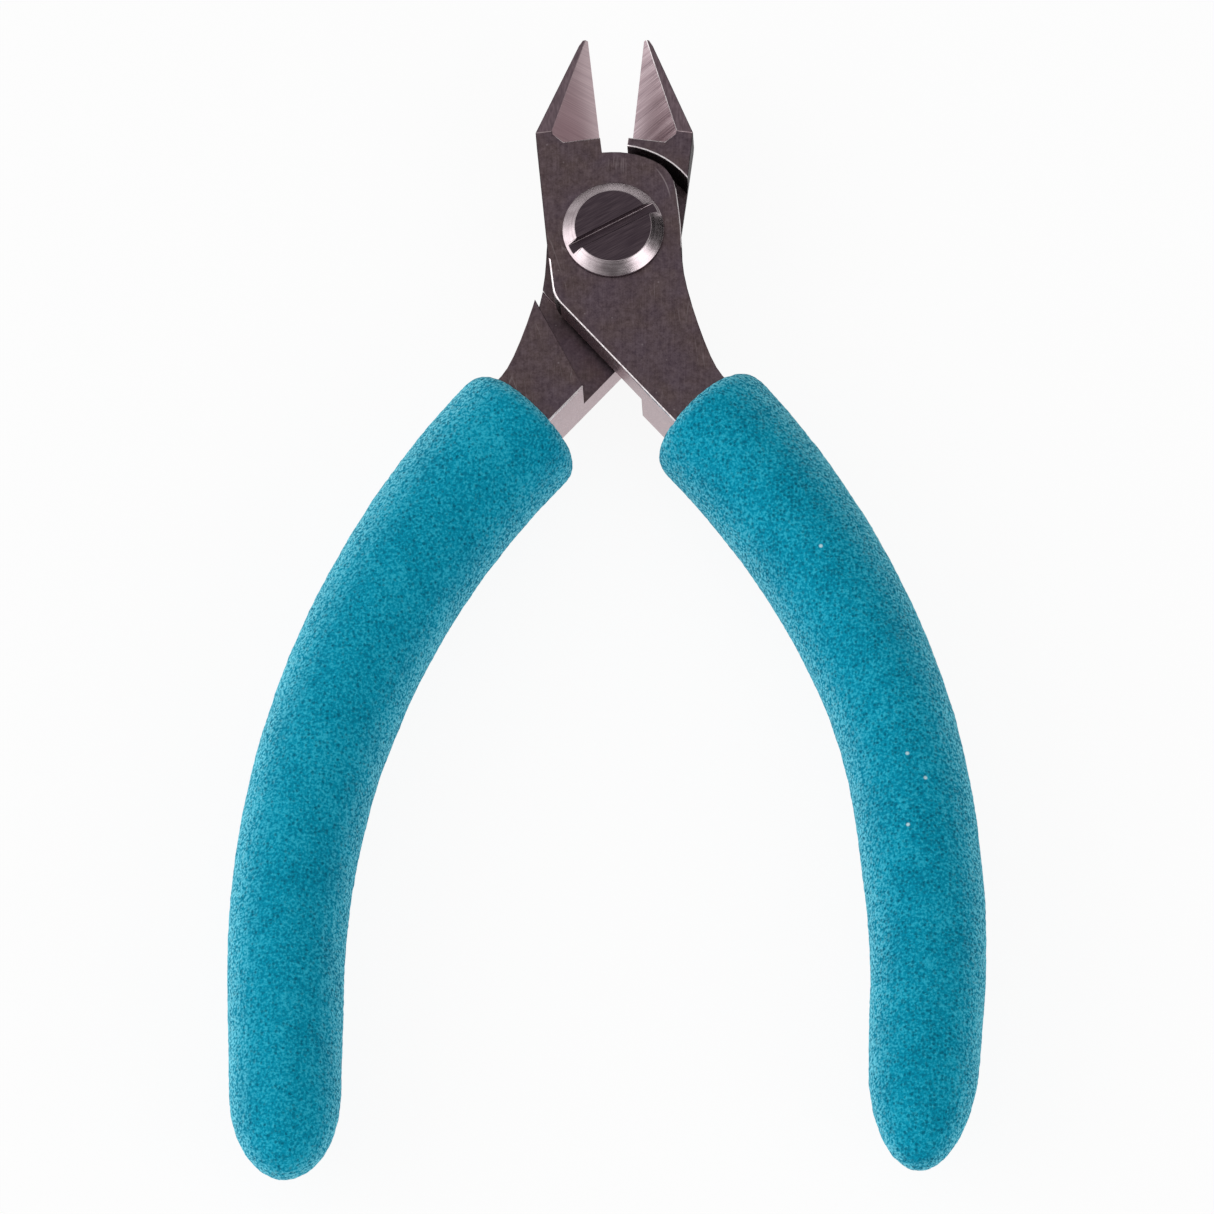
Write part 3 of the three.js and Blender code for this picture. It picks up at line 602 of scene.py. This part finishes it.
# Thinner near-white lines: worn, and drawn with a painted highlight.
def thin_polished(edge):
    spot = middle_of(edge)
    plate_side = spot.x > 0 and PLATE_SIDE_START < spot.y < PLATE_SIDE_END
    slope_foot = spot.y > JAW_START and wall_look(edge).y > STRONG
    return on_front(edge) and (plate_side or slope_foot)


def on_jaw(edge):
    return long_enough(edge) and middle_of(edge).y > JAW_START and edge.calc_face_angle() > CREASE_ANGLE


def on_crest(edge):
    slopes = [f.normal for f in edge.link_faces if f.normal.z > RAISED]
    return on_jaw(edge) and len(slopes) == 2 and max(abs(look.x) for look in slopes) > STRONG


# Outer edges of the head take the dark side finish, painted shade too.
def on_outside(edge):
    spot = middle_of(edge)
    return sharp_and_long(edge) and abs(spot.x) > HEAD_SIDE and spot.y > ARM_START


def in_sight(edge):
    return sharp_and_long(edge) and off_joint(edge)


print("bright line on the left side starts at y =", SHINE_START / MM, "mm")

# %% [markdown]
# Each half is now one call: its node, the body it moves with, the finish of its jaw slope and that
# of the crest. The widths are in millimetres. The long left edge of the front plate is parted where
# its bright line starts, because only the part below it is polished and drawn with a painted
# highlight.

# %% The two halves
POLISHED_BREAK = 0.16
THIN_BREAK = 0.09
CREST_BREAK = 0.06
JAW_BREAK = 0.05
OUTSIDE_BREAK = 0.05
PLAIN_BREAK = 0.07


def half(node_name, body, bevel, crest):
    breaks = ((polished, POLISHED_BREAK, EDGE), (thin_polished, THIN_BREAK, EDGE),
              (on_crest, CREST_BREAK, crest), (on_outside, OUTSIDE_BREAK, SIDE),
              (on_jaw, JAW_BREAK, bevel), (in_sight, PLAIN_BREAK, FACE))
    finishes = [FACE, EDGE, WALL, SIDE, JAW, bevel]
    parted = ((front_left, SHINE_START),)
    steel = refined(node_name, node_name + "_steel", finishes, half_finish(bevel), breaks, parted)
    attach(steel, body)


half("front_half", "front_body", LEFT_BEVEL, LEFT_BEVEL)
# The crest of the right jaw takes the near-white edge finish as a painted highlight.
half("rear_half", "rear_body", RIGHT_BEVEL, EDGE)

# %% [markdown]
# The screw and the nut are small turned pieces. Their edges are broken finer than those of the
# forging. Level faces are darkened; the cone, the walls of the slot and every break are bright. The
# washer and the stop pin lie inside the joint, where nothing shows them: they keep the frame's own
# mesh and only get their steel.

# %% Screw, nut, washer and pin
SCREW_BREAK = 0.04


def screw_finish(face):
    return SCREW_TOP if abs(face.normal.z) > LEVEL else SCREW_BEVEL


for node_name in ("pivot_screw", "pivot_nut"):
    finishes = [SCREW_TOP, SCREW_BEVEL]
    breaks = ((sharp_and_long, SCREW_BREAK, SCREW_BEVEL),)
    turned = refined(node_name, node_name + "_steel", finishes, screw_finish, breaks)
    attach(turned, "rear_body")

for node_name in ("spring_washer", "stop_pin"):
    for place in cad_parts[node_name].material_slots:
        place.material = SPRING
    print(node_name, "takes", SPRING.name)

# %% [markdown]
# The return spring is a coil round the joint with one leg in each half. It winds up as the jaws
# close, so it can ride on neither half alone. A copy of its wire is shaded smooth and takes the
# spring steel, and it is not attached to a body.

# %% Return spring
CAP_ANGLE = radians(60)

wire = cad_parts["return_spring"].data.copy()
wire.name = "return_spring_wire"
wire.materials.clear()
wire.materials.append(SPRING)
wire.shade_smooth()
wire.set_sharp_from_angle(angle=CAP_ANGLE)
spring = bpy.data.objects.new("return_spring_wire", wire)
bpy.context.collection.objects.link(spring)
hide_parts("return_spring")
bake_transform(spring)

# %% [markdown]
# A sleeve is a soft tube with a closed end. Its outer form comes from the frame, but foam is never
# as even as a solid: the surface swells and dips a little and its grain shows on the outline. A
# copy of the node is remeshed into even small faces, smoothed, and pushed in and out by two
# noises, one for the slow waves of the grinding and one for the grain.

# %% Foam sleeves
FOAM_FACE = 0.25 * MM
SOFT_STEPS = 4
WAVE_SIZE = 5.0 * MM
WAVE_HEIGHT = 0.12 * MM
GRAIN_SIZE = 0.5 * MM
GRAIN_HEIGHT = 0.12 * MM


def push(piece, name, size, height):
    pattern = bpy.data.textures.new(name, "CLOUDS")
    pattern.noise_scale = size
    change = piece.modifiers.new(name, "DISPLACE")
    change.texture = pattern
    change.texture_coords = "LOCAL"
    change.strength = height


def sleeve(node_name, piece_name, finish, body):
    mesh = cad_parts[node_name].data.copy()
    mesh.name = piece_name
    mesh.materials.clear()
    mesh.materials.append(finish)
    piece = bpy.data.objects.new(piece_name, mesh)
    bpy.context.collection.objects.link(piece)
    weld = piece.modifiers.new("weld", "WELD")
    weld.merge_threshold = SHORT_EDGE
    even = piece.modifiers.new("even_faces", "REMESH")
    even.mode = "VOXEL"
    even.voxel_size = FOAM_FACE
    even.use_smooth_shade = True
    soft = piece.modifiers.new("soft", "SMOOTH")
    soft.iterations = SOFT_STEPS
    push(piece, "waves", WAVE_SIZE, WAVE_HEIGHT)
    push(piece, "grain", GRAIN_SIZE, GRAIN_HEIGHT)
    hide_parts(node_name)
    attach(piece, body)
    print(piece_name, "from", len(mesh.polygons), "faces of the frame")


sleeve("left_grip", "left_foam_sleeve", LEFT_FOAM, "rear_body")
sleeve("right_grip", "right_foam_sleeve", RIGHT_FOAM, "front_body")

# %% [markdown]
# The tool lies on a plain matt white card. Where the camera and the steel see the card, most of its
# white is a glow of its own, so that it stays white round the tool; the rest is paper that still
# takes the tool's shadow. Light Path tells these rays apart, so the glow throws no light on the
# foam.

# %% White card
FLOOR_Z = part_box("left_grip")[0].z - SHORT_EDGE
FLOOR_SIZE = 6.0
FLOOR_CELLS = 4
GLOW_SHARE = 0.92
CARD_TONE = "#fafafa"


def white_card():
    made, tree, shader, _ = start_material("white_card", Roughness=0.9, Specular_IOR_Level=0.1)
    shader.inputs["Base Color"].default_value = linear(CARD_TONE)
    rays = add(tree, "ShaderNodeLightPath", {})
    seen = add(tree, "ShaderNodeMath", {
        0: rays.outputs["Is Camera Ray"], 1: rays.outputs["Is Glossy Ray"]}, operation="ADD")
    all_seen = add(tree, "ShaderNodeMath", {
        0: seen, 1: rays.outputs["Is Transmission Ray"]}, operation="ADD", use_clamp=True)
    share = add(tree, "ShaderNodeMath", {0: all_seen, 1: GLOW_SHARE}, operation="MULTIPLY")
    glow = add(tree, "ShaderNodeEmission", {"Strength": 1.0})
    both = add(tree, "ShaderNodeMixShader", {0: share, 1: shader, 2: glow})
    tree.links.new(both.outputs[0], tree.nodes["Material Output"].inputs["Surface"])
    return made


bpy.ops.mesh.primitive_grid_add(
    x_subdivisions=FLOOR_CELLS, y_subdivisions=FLOOR_CELLS, size=FLOOR_SIZE, location=(0, 0, FLOOR_Z))
floor = bpy.context.object
floor.name = "floor"
floor.data.materials.append(white_card())
print("card at z =", round(FLOOR_Z / MM, 2), "mm")

# %% [markdown]
# The light is that of a small tent: it comes from all round, more from the left and from the
# handle side. The tent has an opening at the right, one on the handle side and one beyond the jaws,
# and each leaves a dark sector on the cone of the screw. The world does that in two steps: a level
# that leans to one side, and a dip round the direction of each opening, between two cosines.

# %% Light tent
WORLD_LEVEL = 0.65
WORLD_LEAN = (-0.25, -0.12, 0.0)
# Each opening: direction, cosine where the dip starts, cosine where it is full, depth.
OPENINGS = (((0.95, 0.25, 0.18), 0.75, 0.95, 0.36),
            ((0.0, -0.78, 0.62), 0.85, 0.98, 0.55),
            ((-0.08, 0.99, 0.0), 0.72, 0.95, 0.42))

world = bpy.data.worlds.new("light_tent")
bpy.context.scene.world = world
world.use_nodes = True
tent = world.node_tree
direction = add(tent, "ShaderNodeTexCoord", {}).outputs["Generated"]
lean = add(tent, "ShaderNodeVectorMath", {0: direction, 1: WORLD_LEAN}, operation="DOT_PRODUCT")
level = add(tent, "ShaderNodeMath", {0: lean.outputs["Value"], 1: WORLD_LEVEL}, operation="ADD")
for opening, start, full, depth in OPENINGS:
    towards = add(tent, "ShaderNodeVectorMath", {0: direction, 1: opening}, operation="DOT_PRODUCT")
    dip = add(tent, "ShaderNodeMapRange", {
        "Value": towards.outputs["Value"], "From Min": start, "From Max": full, "To Max": depth},
        interpolation_type="SMOOTHSTEP")
    level = add(tent, "ShaderNodeMath", {0: level, 1: dip}, operation="SUBTRACT")
tent.links.new(level.outputs[0], tent.nodes["Background"].inputs["Strength"])
tent.nodes["Background"].inputs["Color"].default_value = linear("#ffffff")
print("openings of the tent:", len(OPENINGS))

# %% [markdown]
# Two soft lamps put the bright sectors on the screw and the bright lines on the worn edges. The
# wide one stands low on the left, the smaller one on the right of the handles. With the tent they
# light a level face at about 1, so a colour renders about as it is written.

# %% Lamps
# Places and sizes are in metres, powers in watts.
LIT_POINT = Vector((0, -0.04, 0))


def soft_lamp(name, place, size, power):
    lamp = bpy.data.lights.new(name, "AREA")
    lamp.size = size
    lamp.energy = power
    holder = bpy.data.objects.new(name, lamp)
    bpy.context.collection.objects.link(holder)
    holder.location = place
    holder.rotation_mode = "QUATERNION"
    holder.rotation_quaternion = (LIT_POINT - Vector(place)).to_track_quat("-Z", "Y")
    holder.visible_camera = False


soft_lamp("left_softbox", place=(-0.9, -0.08, 0.32), size=1.0, power=4.5)
soft_lamp("right_softbox", place=(0.65, -0.42, 0.4), size=0.5, power=1.9)
bpy.context.scene.view_settings.view_transform = "Standard"
print("lamps:", len(bpy.data.lights))

# %% [markdown]
# The camera stands far away with a long lens, almost straight above the tool and a little to its
# handle side. The pivot, at the height of the front face, is the point that ties the view to the
# picture: the middle of the frame is found by stepping from it along the camera's own axes.

# %% Camera
# Angles are in degrees, distances in metres.
FRAME_PX = 1214
MM_PER_PX = 0.094
PIVOT_PX = (613.3, 230.8)
ELEVATION = 67.4
SWING = 1.95
ROLL = -0.58
DISTANCE = 3.0
FAR_CLIP = 20.0

forward = Vector((0, 0, -1))
up = Vector((0, 1, 0))
tip_over = Matrix.Rotation(radians(90 - ELEVATION), 3, "X")
swing = Matrix.Rotation(radians(SWING), 3, "Y")
level_view = swing @ tip_over
roll = Matrix.Rotation(radians(ROLL), 3, level_view @ forward)
view = roll @ level_view
right = view @ Vector((1, 0, 0))
step_right = (FRAME_PX / 2 - PIVOT_PX[0]) * MM_PER_PX * MM
step_down = (FRAME_PX / 2 - PIVOT_PX[1]) * MM_PER_PX * MM
middle = Vector((0, 0, FACE_TOP)) + right * step_right - view @ up * step_down
lens = bpy.data.cameras.new("camera")
lens.lens = lens.sensor_width * DISTANCE / (FRAME_PX * MM_PER_PX * MM)
lens.clip_end = FAR_CLIP
camera = bpy.data.objects.new("camera", lens)
bpy.context.collection.objects.link(camera)
camera.matrix_world = Matrix.Translation(middle - view @ forward * DISTANCE) @ view.to_4x4()
bpy.context.scene.camera = camera
print("camera lens in mm:", round(lens.lens))

# %% [markdown]
# Last, the scene is brought up to date.

# %% Update the scene
bpy.context.view_layer.update()
